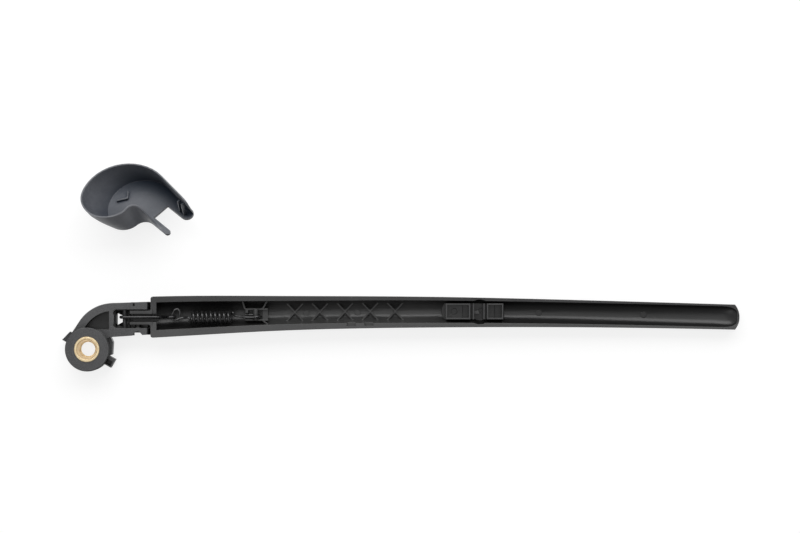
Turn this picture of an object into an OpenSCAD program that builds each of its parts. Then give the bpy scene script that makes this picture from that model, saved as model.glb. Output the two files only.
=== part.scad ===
// Rear wiper arm lying on its back, with its spindle cap taken off and laid beside it.
// The origin is on the spindle axis, at the face of the bush that the nut clamps.
// +X runs along the arm to its tip, and +Z points at the side that faces the glass.

/* [Spindle bush] */
// Diameter of the straight bore that the threaded end of the spindle passes through
bore_d = 8.9; // [8.2:0.1:9.6]
// Length of the straight bore
bore_len = 4; // [3:0.5:6]
// Small diameter of the taper, where it meets the straight bore
taper_small_d = 9.9; // [9.7:0.1:10.6]
// Diameter of the taper at its mouth
taper_mouth_d = 12.4; // [11.4:0.1:13]
// Outside diameter of the bush
bush_d = 15.8; // [15:0.1:18]
// Height of the bush's mouth above the hub face
bush_proud = 0.4; // [0:0.1:1]
// Bevel around the bush's mouth
bush_bevel = 0.3; // [0.2:0.1:0.8]

/* [Hub and neck] */
// Diameter of the round hub face
hub_face_d = 26.8; // [25:0.2:27]
// Diameter of the hub below its face
hub_skirt_d = 27.6; // [27.4:0.2:29]
// Height of the hub face above the nut seat
hub_face_z = 14; // [12.5:0.5:16]
// Height of the shoulder where the hub face steps in
hub_shoulder_z = 11; // [10.5:0.5:12]
// Depth of the nut recess in the hub's back
nut_recess = 4; // [3:0.5:5]
// Diameter of the nut recess
nut_recess_d = 21; // [18:0.5:23]
// Height of the neck's rim above the nut seat
neck_rim_z = 10; // [9:0.5:10.5]
// Radius of the neck's swept outer edge
neck_sweep_r = 25.1; // [24:0.1:26]
// Wall between the neck's swept edge and its pocket
neck_wall = 4.9; // [3:0.1:6]
// Distance of the pocket's end wall from the spindle axis
pocket_end_x = 13.5; // [11:0.5:14]
// Distance of the pocket's straight side from the spindle axis
pocket_side_y = 12.2; // [11.5:0.1:13]
// Thickness of the neck's floor under its pocket
pocket_floor = 2; // [1.6:0.2:4]

/* [Yoke and hinge] */
// Distance along the arm from the spindle axis to the hinge axis
hinge_x = 31.1; // [30:0.1:33]
// Height of the hinge axis above the nut seat
hinge_z = 5; // [4.5:0.1:5.2]
// Diameter of the two hinge pins
hinge_pin_d = 4; // [3:0.1:4.5]
// Running clearance on the radius of every pin
pin_clearance = 0.05; // [0.02:0.01:0.1]
// Diameter of the flat heads of the hinge pins
hinge_head_d = 9; // [6:0.5:9.5]
// Thickness of the flat heads of the hinge pins
hinge_head_t = 1.2; // [0.8:0.1:1.6]
// Diameter at its mouth of the tapered scallop that lets the pin's head into the near wall
hinge_scallop_d = 11.6; // [10.6:0.1:12.5]
// Depth of the scallop on the near side
hinge_scallop_near = 2.7; // [2:0.1:2.8]
// Depth of the round recess for the pin's head on the far side
hinge_scallop_far = 1.3; // [1.2:0.1:2]
// Distance across the yoke's open slot
yoke_slot_w = 11.7; // [11:0.1:12.5]
// Height of the slot's near wall above the spindle axis, in the plan
yoke_slot_y = 13; // [12.8:0.1:13.5]
// Thickness of the yoke's near wall at the hinge
yoke_near_t = 4.2; // [4:0.1:5]
// Thickness of the yoke's far wall at the hinge
yoke_far_t = 4.5; // [4:0.1:5]
// Distance from the spindle axis to the slot's closed end
yoke_slot_x = 16; // [15.5:0.1:17]
// Radius of the yoke's rounded ends about the hinge axis
yoke_end_r = 7.4; // [6.5:0.1:7.5]
// Thickness of the floor in the closed part of the slot
slot_floor = 3; // [2:0.2:4]
// Radius of the corners at the slot's closed end
slot_corner_r = 2; // [1:0.1:3]
// How far the arm folds, in degrees
fold_max = 50; // [40:1:50]
// Distance from the hinge axis to the pin that the tension hook pulls on
hook_pin_back = 8.1; // [8:0.1:9]
// Height of the hook pin above the hinge axis
hook_pin_up = 2.8; // [2:0.1:3]
// Diameter of the hook pin
hook_pin_d = 2.4; // [2:0.1:2.6]
// How far each end of the hook pin sits in the yoke
hook_pin_seat = 2; // [1:0.5:3]

/* [Tension hook and spring] */
// Diameter of the tension hook's wire
hook_wire_d = 2; // [1.6:0.1:2.2]
// Distance from the spindle axis to the eye at the hook's far end
hook_eye_x = 51.8; // [51:0.1:52.2]
// Radius of the eye, to the middle of its wire
hook_eye_r = 2.3; // [2.1:0.1:2.6]
// Wire diameter of the tension spring
spring_wire_d = 1.5; // [1.2:0.1:1.7]
// Outside diameter of the spring's coil
spring_d = 8; // [7:0.2:8.4]
// Distance from the spindle axis to the coil's first turn
coil_x = 63.2; // [62.5:0.1:66]
// Distance from one turn of the coil to the next
coil_pitch = 2.7; // [2.2:0.1:2.8]
// Number of turns
coil_turns = 9; // [6:1:9]
// Length across the arm of the spring's flat end loop
loop_rise = 5.3; // [4.6:0.1:5.8]
// Distance from the spindle axis to the middle of the post that the spring hooks on
post_x = 104.2; // [100:0.1:106]
// Diameter of that post
post_d = 3.4; // [3:0.1:4]

/* [Arm] */
// Distance from the spindle axis to the arm's tip
arm_reach = 404.8; // [380:0.2:420]
// Gap from the yoke's rounded ends to the arm's end wall
yoke_gap = 0.7; // [0.5:0.1:1]
// Width of the arm at its hinge end
arm_w_root = 25.6; // [24:0.1:27]
// Width of the arm at a quarter of its length
arm_w_quarter = 21.1; // [20:0.1:23]
// Width of the arm at half of its length
arm_w_half = 18.9; // [18:0.1:20]
// Width of the arm at three quarters of its length
arm_w_far = 16.8; // [16:0.1:18]
// Width of the arm just before its rounded tip
arm_w_tip = 15.6; // [14:0.1:17]
// Sideways position of the arm's middle line at both ends, from the spindle axis
arm_line_y = 19.85; // [19.4:0.05:20.2]
// Sideways bow of the middle line, at half of its length
arm_bow = 3.1; // [0:0.1:5]
// Share by which the bow leans towards the hinge end
arm_bow_lean = 0.47; // [0:0.01:0.6]
// Depth of the arm at its hinge end
arm_depth_root = 14; // [13:0.5:15]
// Depth of the arm at half of its length
arm_depth_half = 12.4; // [11:0.1:13]
// Depth of the arm at its tip
arm_depth_tip = 8; // [6:0.5:9]
// Rise of the arm's back at its tip
arm_tip_rise = 2; // [0:0.5:4]
// Radius of the tip's rounded end, in the plan
arm_tip_r = 12.3; // [11:0.1:14]
// Inward fall of the rims, from the edge to the middle line
arm_rim_fall = 1.2; // [0.2:0.1:2]
// Width of the far rim at the hinge end
rim_far_root = 3.7; // [2.5:0.1:4]
// Width of the far rim at half of the arm's length
rim_far_half = 2.2; // [1.5:0.1:3]
// Width of the far rim at the tip
rim_far_tip = 1.2; // [1:0.1:2]
// Width of the near rim at the hinge end
rim_near_root = 4.6; // [3.5:0.1:5]
// Width of the near rim at half of the arm's length
rim_near_half = 2.85; // [2:0.05:3.5]
// Width of the near rim at the tip
rim_near_tip = 1.4; // [1:0.1:2.2]
// Thickness of the arm's floor
arm_floor = 2.2; // [1.6:0.1:3]
// Thickness of the wall at the arm's hinge end
arm_end_wall = 3.6; // [2:0.1:4]
// Wall left at the arm's tip
arm_tip_wall = 1.3; // [1.2:0.1:3]
// Length of the spoon-shaped end of the trough
spoon_len = 15; // [10:0.5:20]

/* [Tongue] */
// Radius of the tongue's rounded ears about the hinge axis
ear_r = 6.5; // [5:0.1:6.6]
// Thickness of the tongue's near plate
tongue_near_t = 1.6; // [1.2:0.1:2]
// Thickness of the tongue's far plate
tongue_far_t = 2; // [1.2:0.1:2.2]
// Gap from the yoke's near wall to the near plate
tongue_near_gap = 2.3; // [1.8:0.1:2.6]
// Gap from the yoke's far wall to the far plate
tongue_far_gap = 0.8; // [0.5:0.1:1.2]
// Height of the tongue's edge above the hinge axis
tongue_up = 4.4; // [4:0.1:5]
// Thickness of the tongue's floor
tongue_floor_t = 1.2; // [0.8:0.1:1.4]
// Radius of the shoulder between the near plate and the arm's end wall
shoulder_r = 1.7; // [1:0.1:1.8]

/* [Arm ribs] */
// Distance from the spindle axis to the first crossing of the lattice ribs
lattice_x = 128.5; // [126:0.5:132]
// Distance from one crossing to the next
lattice_pitch = 15.6; // [15:0.1:17]
// Number of crossings
lattice_count = 5; // [3:1:5]
// Thickness of the ribs
lattice_t = 0.85; // [0.6:0.05:1.6]
// Height of the ribs above the arm's floor
lattice_h = 2.6; // [1:0.1:4]
// Height of the spring anchor above the arm's floor
anchor_h = 7; // [6:0.5:8]
// Thickness of the anchor's ribs
anchor_t = 1; // [0.8:0.1:1.2]
// Distance from the spindle axis to the first rim notch
notch_x = 160.9; // [158:0.1:163]
// Length of each rim notch
notch_len = 5.4; // [4:0.1:6]
// Distance from the first rim notch to the second
notch_pitch = 11; // [10:0.1:12]
// Width of the notches, from the rim's inner edge
notch_depth = 1.9; // [1:0.1:2.2]
// Depth of the notches below the rim
notch_drop = 5; // [2:0.5:6]

/* [Blade mount] */
// Distance from the spindle axis to the middle of the blade mount
mount_x = 243.4; // [240:0.1:246]
// Diameter of the round recess that clears the blade's swivel boss
swivel_d = 15.4; // [15:0.1:15.8]
// Diameter of the locating hole
locate_d = 2.8; // [2:0.1:3.4]
// Width of the cage across the arm
cage_w = 9.8; // [9:0.1:10.5]
// Thickness of the cage's ribs
cage_t = 0.9; // [0.8:0.1:1.4]
// Depth of the cage's edge below the rims
cage_drop = 1.2; // [0.5:0.1:3]
// Depth of the well that the cage stands in
cage_well = 0.7; // [0.3:0.1:0.9]
// Height of the raised floors inside the two boxes
cage_step = 0.8; // [0.4:0.1:1.4]
// Length of the raised floor in the long box
long_step_len = 10.6; // [8:0.1:12]
// Length of the raised floor in the short box
short_step_len = 4.9; // [4:0.1:7]
// Length of the long box, outside its ribs
long_box_len = 15.2; // [14:0.1:16]
// Distance from the mount's middle to the long box
long_box_off = 5.9; // [5.5:0.1:6.5]
// Length of the short box, outside its ribs
short_box_len = 10.2; // [9:0.1:11]
// Distance from the mount's middle to the short box
short_box_off = 4.4; // [4:0.1:5]
// Distance between the two middle bars, outside to outside
bar_span = 7.5; // [6.5:0.1:8]
// Distance from the mount's middle to the first middle bar
bar_off = 4.4; // [4:0.1:4.6]

/* [Spindle cap] */
// Depth of the cap
cap_depth = 18.7; // [17:0.1:21]
// Thickness of the cap's walls
cap_wall = 1.6; // [1.2:0.1:2]
// Share of the wall's thickness that is left at the rim
cap_rim_share = 0.55; // [0.5:0.05:1]
// Radius of the round end at the cap's rim
cap_end_r = 16; // [15.5:0.1:17.5]
// Radius of the swept side at the cap's rim
cap_sweep_r = 28.5; // [27:0.1:29]
// Length of the cap from the spindle axis to the end of its long prong
cap_reach = 40.5; // [40:0.1:48]
// Length of the cap from the spindle axis to the end of its short prong
cap_short_reach = 39.6; // [37:0.1:40]
// Distance from the spindle axis to the slot between the prongs
cap_slot_x = 23.1; // [20:0.1:25]
// Angle of the cap's length in the plan, from the arm's
cap_turn = -43.6; // [-50:0.1:-35]
// Tilt of the cap as it lies
cap_tilt = 34.4; // [30:0.1:40]
// Direction that the cap's open side leans towards
cap_lean = 97.8; // [90:0.1:110]
// Place of the cap's spindle axis, at its rim, along the arm
cap_x = 15.5; // [10:0.5:20]
// Place of the cap's spindle axis, at its rim, across the arm
cap_y = 96.8; // [90:0.2:110]

/* [Hidden] */
$fn = 96;

past = 1; // how far a cutter reaches past what it cuts
back_z = -nut_recess; // the surface that the parts lie on

// Neck and yoke
neck_back_z = hinge_z - yoke_end_r;
neck_sweep_at = [16, 3.5]; // centre of the neck's swept outer edge, in the plan
yoke_far_y = yoke_slot_y + yoke_slot_w;
yoke_near_edge = yoke_slot_y - yoke_near_t;
yoke_far_edge = yoke_far_y + yoke_far_t;
hook_pin_x = hinge_x - hook_pin_back;
hook_pin_z = hinge_z + hook_pin_up;
tongue_near_y = yoke_slot_y + tongue_near_gap;
tongue_far_y = yoke_far_y - tongue_far_gap;
window_x = yoke_slot_x + 2; // the window in the slot's floor narrows towards the hinge
window_far_x = yoke_slot_x + 5.7;
window_near = [2, 7.2]; // distance from the slot's near side, and width, at the window's wide end
window_far = [4, 3.4]; // the same at its narrow end
window_lip = 0.8; // thickness of the floor at the window's edge
window_splay = [1.2, 0.8]; // how far its sloping sides reach beyond its two ends
fold_gap = 0.4; // free radius round the tongue's ears
ledge_len = 3.5; // the ledges over the edges of the tongue's floor
ledge_t = 1.2;
ledge_near = 0.8;
ledge_far = 0.5;
boss_d = 6.4; // the flat bosses around the hinge inside the slot
boss_h = 0.5;
scallop_open = [5.2, 1.9]; // the near scallop is open below: its width and its depth
head_gap = 0.3; // free radius round the hinge pins' heads
notch_at = [28.8, 27.5]; // a small notch in the top of the yoke's far wall
notch_size = [1.2, 1.8, 3];
clip_root = 8; // the hub's shoulder and the two clips for the cap start inside the hub
shoulder_plan = [[clip_root, 6], [14.2, 7.5], [15.7, 4.3], [15.2, -3.4], [clip_root, -6]];
shoulder_h = 10.4;
lug_a = -29.5; // direction and sizes of the open lug
lug_w = 5.9;
lug_r = 18.2;
lug_t = 0.7;
lug_lip = 2;
barb_a = 160.3; // direction and sizes of the barb
barb_r = 17.1;
barb_w = 6.4;
barb_h = 6;

// Arm
arm_x0 = hinge_x + yoke_end_r + yoke_gap;
arm_tip_x = arm_reach - arm_tip_r; // centre of the tip's round end
arm_tip_a = asin(arm_w_tip / 2 / arm_tip_r);
arm_run = arm_tip_x + arm_tip_r * cos(arm_tip_a) - arm_x0;
section_steps = 16;
stations = 26;

// Tension line: straight from the hook pin to the anchor's post
post_z = back_z + 9.2;
line_slope = (post_z - hook_pin_z) / (post_x - hook_pin_x);
bend_shift = 1.5; // sideways run of the spring's hook as it goes round the post
wrap_r = hook_pin_d / 2 + pin_clearance + hook_wire_d / 2;
spring_r = (spring_d - spring_wire_d) / 2;
hook_y = tongue_near_y + tongue_near_t + (tongue_far_y - tongue_far_t - tongue_near_y - tongue_near_t) / 2 + 0.45;
spring_y = hook_y - 0.1;
coil_end_x = coil_x + (coil_turns + 0.75) * coil_pitch;
loop_x = hook_eye_x + hook_eye_r - hook_wire_d / 2 - spring_wire_d / 2 - 0.15; // where the loop bears on the eye
tongue_floor_z = hinge_z - ear_r + tongue_floor_t;

// The lip under the yoke's round end
lip_from = 5;
lip_h = 3;
lip_gap = 0.5;

// The spring's anchor: its ends along the arm and its sides, from the post and from the spring's line
anchor_ends = [-6.4, 7.6];
anchor_sides = [-1.7, 5];
anchor_stub = [1.8, 2.4]; // the tall block in one corner
anchor_block = 3.4; // length of the lower block at the far end
anchor_block_drop = 1.6;
anchor_foot = 0.9; // how far the ribs reach into the floor under them

// The cage for the blade's clip
cage_shift = 0.3; // sideways, from the trough's middle
cage_foot = 1.2; // how far its ribs reach into the floor under them
cage_web = [4, 1.6, 0.4]; // the web between the bars: its length, and its reach to each side
cage_end_r = 8; // round end of the well
swivel_cone = 2.4;

// Marks of the mould's ejector pins on the trough's floor
ejector_d = 3.7;
ejector_proud = 0.35;
ejector_at = [[135.5, 22.2], [167.5, 22.6], [280.3, 22.4], [345.5, 21.2]];

// Spindle cap, in its own frame: the origin is on the spindle axis at the cap's rim
cap_rim_end = [0, -3.66];
cap_rim_sweep = [11.32, 1.68];
cap_rim_near = 6;
cap_rim_fillet = 6;
cap_low_end = [7.34, 1.66];
cap_low_end_r = 11.5;
cap_low_sweep = [12.85, 11.71];
cap_low_sweep_r = 23;
cap_low_near = 8.5;
cap_low_fillet = 7;
cap_taper = 6.1; // angle of the straight side
cap_crown = 0.8; // bulge of the cap's outer face
cap_middle = [8, 10]; // a point that every part of the outline faces
cap_slot = [12, 23.8]; // the two sides of its slot
cap_drop = [12.1, 34]; // the near wall falls between these two places
cap_drop_depth = 17;
cap_far_end_r = 4.1; // radius of the long prong's end, in the plan
cap_far_corner_r = 5.2; // radius of its upper corner
latch_t = 0.8; // the low ribs of the latch on the cap's floor, and where they run
latch_h = 1.8;
latch_run = [[-2.4, 4.4], [1.2, 10.2], [-2.4, 14]];
guide_back = [8.5, 5.1]; // distance of two ribs inside the long prong from its end
guide_off = [1.6, 3.4]; // their two ends, from the slot
guide_t = 1;
guide_h = 13;

// A value between evenly spaced ones, with t from 0 to 1 over the whole list
function curve(v, t) =
    let(n = len(v) - 1, k = min(floor(t * n), n - 1), f = t * n - k,
        a = v[max(k - 1, 0)], b = v[k], c = v[k + 1], d = v[min(k + 2, n)])
    b + f / 2 * (c - a + f * (2 * a - 5 * b + 4 * c - d + f * (3 * (b - c) + d - a)));

function unit(v) = v / norm(v);

// Points along an arc
function arc(at, r, from, to, steps) =
    [for (i = [0:steps]) at + r * [cos(from + (to - from) * i / steps), sin(from + (to - from) * i / steps)]];

// Position along the arm as a share of its run, and the arm's sizes there
function share(x) = min(max((x - arm_x0) / arm_run, 0), 1);
function arm_w(x) = curve([arm_w_root, arm_w_quarter, arm_w_half, arm_w_far, arm_w_tip], share(x));
function arm_y(x) =
    let(t = share(x))
    arm_line_y + arm_bow * 4 * t * (1 - t) * (1 + arm_bow_lean * (0.5 - t));
function arm_depth(x) = curve([arm_depth_root, arm_depth_half, arm_depth_tip], share(x));
function arm_back(x) = back_z + arm_tip_rise * pow(share(x), 3);
function arm_rim(x) = arm_back(x) + arm_depth(x);
function arm_floor_z(x) = arm_back(x) + arm_floor;
function rim_far(x) = curve([rim_far_root, rim_far_half, rim_far_tip], share(x));
function rim_near(x) = curve([rim_near_root, rim_near_half, rim_near_tip], share(x));
function trough_far(x) = arm_y(x) + arm_w(x) / 2 - rim_far(x);
function trough_near(x) = arm_y(x) - arm_w(x) / 2 + rim_near(x);
function trough_y(x) = (trough_far(x) + trough_near(x)) / 2;

// Half of a rounded section below its rim: a wide, flat-bottomed curve
function bowed(c, power) = sign(c) * pow(abs(c), 2 / power);
function section(x, y, half, rim, depth, power, mid) =
    concat([[x, y, mid]],
        [for (i = [0:section_steps]) let(a = 180 + 180 * i / section_steps)
            [x, y + half * bowed(cos(a), power), rim + depth * bowed(sin(a), power)]]);

// A solid through rings of points. Seen from the last ring, each ring runs counter-clockwise.
module skin(rings, capped = true) {
    s = len(rings[0]);
    n = len(rings);
    sides = [for (i = [0:n - 2], k = [0:s - 1]) [i * s + k, (i + 1) * s + k, (i + 1) * s + (k + 1) % s, i * s + (k + 1) % s]];
    caps = capped ? [[for (k = [0:s - 1]) k], [for (k = [s - 1:-1:0]) (n - 1) * s + k]] : [];
    polyhedron(points = [for (ring = rings, p = ring) p], faces = concat(sides, caps));
}

// Frames that turn as little as they can along a path
function frames(dirs, e, i = 0) =
    i == len(dirs) ? [] :
    let(f = unit(e - (e * dirs[i]) * dirs[i])) concat([f], frames(dirs, f, i + 1));

// A round wire along a path
module wire(path, d, sides = 8) {
    n = len(path);
    dirs = [for (i = [0:n - 1]) unit(path[min(i + 1, n - 1)] - path[max(i - 1, 0)])];
    side = abs(dirs[0][1]) < 0.9 ? [0, 1, 0] : [1, 0, 0];
    e = frames(dirs, side);
    skin([for (i = [0:n - 1]) [for (k = [0:sides - 1]) let(a = 360 * k / sides)
        path[i] + d / 2 * (cos(a) * e[i] + sin(a) * cross(dirs[i], e[i]))]]);
}

// A cylinder across the arm, from one side to the other
module across(x, z, d, from_y, to_y) {
    translate([x, to_y, z]) rotate([90, 0, 0]) cylinder(d = d, h = to_y - from_y);
}

// A straight rib between two points of the plan
module rib(a, b, t, low, high) {
    run = b - a;
    translate([a[0], a[1], low]) rotate([0, 0, atan2(run[1], run[0])])
        translate([0, -t / 2, 0]) cube([norm(run), t, high - low]);
}

module block(low, high) {
    translate(low) cube(high - low);
}

// The head: hub, swept neck and the yoke that the arm folds in
module neck_plan() {
    a = atan2(neck_sweep_at[1], neck_sweep_at[0])
        + acos((hub_skirt_d / 2 - neck_sweep_r) / norm(neck_sweep_at));
    polygon(concat(
        [[0, 0], [pocket_end_x + 0.6, yoke_near_edge - 1.3], [hinge_x + yoke_end_r, yoke_near_edge + 0.3],
         [hinge_x + yoke_end_r, yoke_far_edge + 0.2]],
        arc(neck_sweep_at, neck_sweep_r, 89, a, 24),
        [(hub_skirt_d / 2 - 0.2) * [cos(a), sin(a)]]));
}

// The yoke's side view, rounded about the hinge so that the arm's end wall clears it
module yoke_side() {
    back = hub_skirt_d;
    translate([hinge_x, hinge_z]) circle(r = yoke_end_r);
    translate([-back, neck_back_z]) square([hinge_x + back, neck_rim_z - neck_back_z]);
    translate([hinge_x, hinge_z]) square([yoke_end_r - 1.6, neck_rim_z - hinge_z]);
}

module neck_block() {
    intersection() {
        translate([0, 0, neck_back_z]) linear_extrude(neck_rim_z - neck_back_z) neck_plan();
        translate([0, yoke_far_edge + past, 0]) rotate([90, 0, 0])
            linear_extrude(yoke_far_edge + hub_skirt_d) yoke_side();
    }
}

module pocket_plan() {
    difference() {
        intersection() {
            translate(neck_sweep_at) circle(r = neck_sweep_r - neck_wall);
            translate([pocket_end_x - hub_skirt_d, pocket_side_y]) square(hub_skirt_d);
        }
        circle(d = hub_face_d);
    }
}

// The slot's floor falls on all sides to a window that narrows towards the hinge
module window() {
    low_z = neck_back_z + window_lip;
    mouth_z = neck_back_z + slot_floor + 0.3;
    edge = 0.3;
    plan = [[window_x, yoke_slot_y + window_near[0]], [window_far_x, yoke_slot_y + window_far[0]],
            [window_far_x, yoke_slot_y + window_far[0] + window_far[1]],
            [window_x, yoke_slot_y + window_near[0] + window_near[1]]];
    x0 = window_x - window_splay[0];
    x1 = window_far_x + window_splay[1];
    mouth = [[x0, yoke_slot_y + edge], [x1, yoke_slot_y + edge], [x1, yoke_far_y - edge], [x0, yoke_far_y - edge]];
    skin([[for (p = plan) [p[0], p[1], neck_back_z - past]], [for (p = plan) [p[0], p[1], low_z]],
        [for (p = mouth) [p[0], p[1], mouth_z]]]);
}

// The yoke's slot, with rounded corners at its closed end. A flat boss stands on each wall around the hinge.
module yoke_slot() {
    low = neck_back_z + slot_floor;
    r = slot_corner_r;
    open_x = hinge_x + yoke_end_r + past;
    translate([0, 0, low]) linear_extrude(neck_rim_z + past - low)
        polygon(concat([[open_x, yoke_slot_y], [open_x, yoke_far_y]],
            arc([yoke_slot_x + r, yoke_far_y - r], r, 90, 180, 6),
            arc([yoke_slot_x + r, yoke_slot_y + r], r, 180, 270, 6)));
    // The floor stops where the tongue's floor comes down at full fold, and is hollowed round its ears
    translate([0, yoke_far_y, 0]) rotate([90, 0, 0]) linear_extrude(yoke_slot_w) {
        swept_r = ear_r + fold_gap;
        translate([hinge_x, hinge_z]) circle(r = swept_r);
        translate([hinge_x, hinge_z]) rotate(-fold_max - 2) translate([0, -swept_r]) square([3 * ear_r, swept_r]);
        translate([hinge_x, neck_back_z - past]) square([open_x - hinge_x, neck_rim_z - neck_back_z + 2 * past]);
    }
}

// Two ledges over the edges of the tongue's floor, which moves away from them as the arm folds
module slot_ledges() {
    z = tongue_floor_z + fold_gap;
    x0 = hinge_x + hinge_pin_d / 2;
    block([x0, yoke_slot_y - 1, z], [x0 + ledge_len, yoke_slot_y + ledge_near, z + ledge_t]);
    block([x0, yoke_far_y - ledge_far, z], [x0 + ledge_len, yoke_far_y + 1, z + ledge_t]);
}

module arm_head() {
    recess_d = hinge_head_d + 2 * head_gap;
    cut_h = hinge_scallop_near + 2;
    color([0.2, 0.2, 0.21]) difference() {
        union() {
            difference() {
                union() {
                    neck_block();
                    translate([0, 0, back_z]) cylinder(d = hub_skirt_d, h = hub_shoulder_z - back_z);
                }
                translate([0, 0, neck_back_z + pocket_floor]) linear_extrude(neck_rim_z - neck_back_z) pocket_plan();
            }
            translate([0, 0, back_z]) cylinder(d = hub_face_d, h = hub_face_z - back_z);
            // Shoulder beside the neck
            translate([0, 0, back_z + 1]) linear_extrude(shoulder_h)
                polygon(shoulder_plan);
            // Clip lug, open to the glass side
            rotate([0, 0, lug_a]) difference() {
                block([clip_root, -lug_w / 2, back_z + 2], [lug_r, lug_w / 2, hub_shoulder_z - 3]);
                block([hub_skirt_d / 2 - 1, -lug_w / 2 + lug_t, back_z + 4],
                      [lug_r - lug_t, lug_w / 2 - lug_lip, hub_shoulder_z]);
            }
            // Clip barb
            rotate([0, 0, barb_a]) translate([0, 0, back_z + 3]) linear_extrude(barb_h)
                polygon([[clip_root, -4], [hub_skirt_d / 2 - 0.8, -barb_w], [hub_skirt_d / 2 + 0.4, -barb_w],
                    [barb_r, 0], [hub_skirt_d / 2 - 0.6, 0.6], [clip_root, 0]]);
        }
        // Seat of the bush, and the nut's recess behind it
        cylinder(d = bush_d, h = hub_face_z + past);
        translate([0, 0, back_z - past]) cylinder(d = nut_recess_d, h = nut_recess + past);
        difference() {
            yoke_slot();
            across(hinge_x, hinge_z, boss_d, yoke_slot_y - past, yoke_slot_y + boss_h);
            across(hinge_x, hinge_z, boss_d, yoke_far_y - boss_h, yoke_far_y + past);
        }
        window();
        // Holes of the hook pin and of the two hinge pins, with the scallops for their heads
        across(hook_pin_x, hook_pin_z, hook_pin_d + 2 * pin_clearance,
            yoke_slot_y - hook_pin_seat - 0.1, yoke_far_y + hook_pin_seat + 0.1);
        across(hinge_x, hinge_z, hinge_pin_d + 2 * pin_clearance, yoke_near_edge - past, yoke_far_edge + past);
        translate([hinge_x, yoke_near_edge + hinge_scallop_near, hinge_z]) rotate([90, 0, 0])
            cylinder(d1 = recess_d, d2 = recess_d + (hinge_scallop_d - recess_d) * cut_h / hinge_scallop_near, h = cut_h);
        block([hinge_x - scallop_open[0] / 2, yoke_near_edge - past, neck_back_z - past],
              [hinge_x + scallop_open[0] / 2, yoke_near_edge + scallop_open[1], hinge_z]);
        across(hinge_x, hinge_z, recess_d, yoke_far_edge - hinge_scallop_far, yoke_far_edge + 2);
        translate([notch_at[0] - notch_size[0] / 2, notch_at[1] - notch_size[1] / 2, neck_rim_z - notch_size[2]])
            cube([notch_size[0], notch_size[1], notch_size[2] + past]);
    }
    color([0.2, 0.2, 0.21]) slot_ledges();
}

module spindle_bush() {
    top_z = hub_face_z + bush_proud;
    color([0.82, 0.68, 0.45]) difference() {
        union() {
            cylinder(d = bush_d, h = top_z - bush_bevel);
            translate([0, 0, top_z - bush_bevel])
                cylinder(d1 = bush_d, d2 = bush_d - 2 * bush_bevel, h = bush_bevel);
        }
        translate([0, 0, -past]) cylinder(d = bore_d, h = bore_len + 2 * past);
        translate([0, 0, bore_len]) cylinder(d1 = taper_small_d, d2 = taper_mouth_d, h = top_z - bore_len - bush_bevel);
        translate([0, 0, top_z - bush_bevel])
            cylinder(d1 = taper_mouth_d, d2 = taper_mouth_d + 2 * bush_bevel, h = bush_bevel);
        translate([0, 0, top_z - past / 100]) cylinder(d = taper_mouth_d + 2 * bush_bevel, h = past);
    }
}

// Two headed pins, one through each side of the yoke and the tongue's plate inside it
module hinge_pins() {
    near_head = yoke_near_edge + hinge_scallop_near - hinge_head_t;
    far_head = yoke_far_edge - hinge_scallop_far + hinge_head_t;
    color([0.3, 0.3, 0.31]) {
        across(hinge_x, hinge_z, hinge_pin_d, near_head, tongue_near_y + tongue_near_t - 0.2);
        across(hinge_x, hinge_z, hinge_head_d, near_head, near_head + hinge_head_t);
        across(hinge_x, hinge_z, hinge_pin_d, tongue_far_y - tongue_far_t + 0.2, far_head);
        across(hinge_x, hinge_z, hinge_head_d, far_head - hinge_head_t, far_head);
    }
}

module hook_pin() {
    color([0.35, 0.35, 0.36])
        across(hook_pin_x, hook_pin_z, hook_pin_d, yoke_slot_y - hook_pin_seat, yoke_far_y + hook_pin_seat);
}

// Height of the tension line
function line_z(x) = hook_pin_z + (x - hook_pin_x) * line_slope;

// The hook wraps its pin on the side away from the arm, passes over the hinge and ends in an eye
module tension_hook() {
    over_z = hook_pin_z + wrap_r;
    eye_z = line_z(hook_eye_x);
    tube_d = hook_wire_d / cos(180 / 12) + 0.02;
    color([0.1, 0.1, 0.1]) {
        translate([hook_pin_x, hook_y, hook_pin_z]) rotate([90, 0, 0])
            rotate_extrude(angle = 160, start = 90) translate([wrap_r, 0]) circle(d = hook_wire_d, $fn = 32);
        wire(concat(
            [[hook_pin_x - 0.3, hook_y, over_z], [hinge_x, hook_y, over_z], [hinge_x + 5, hook_y, over_z - 0.2],
             [hook_eye_x - 8, hook_y, eye_z + hook_eye_r * 0.5]],
            [for (a = [150:-30:-150]) [hook_eye_x + hook_eye_r * cos(a), hook_y + 0.1 * (150 - a) / 300,
                eye_z + hook_eye_r * sin(a)]]), tube_d, 12);
    }
}

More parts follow.
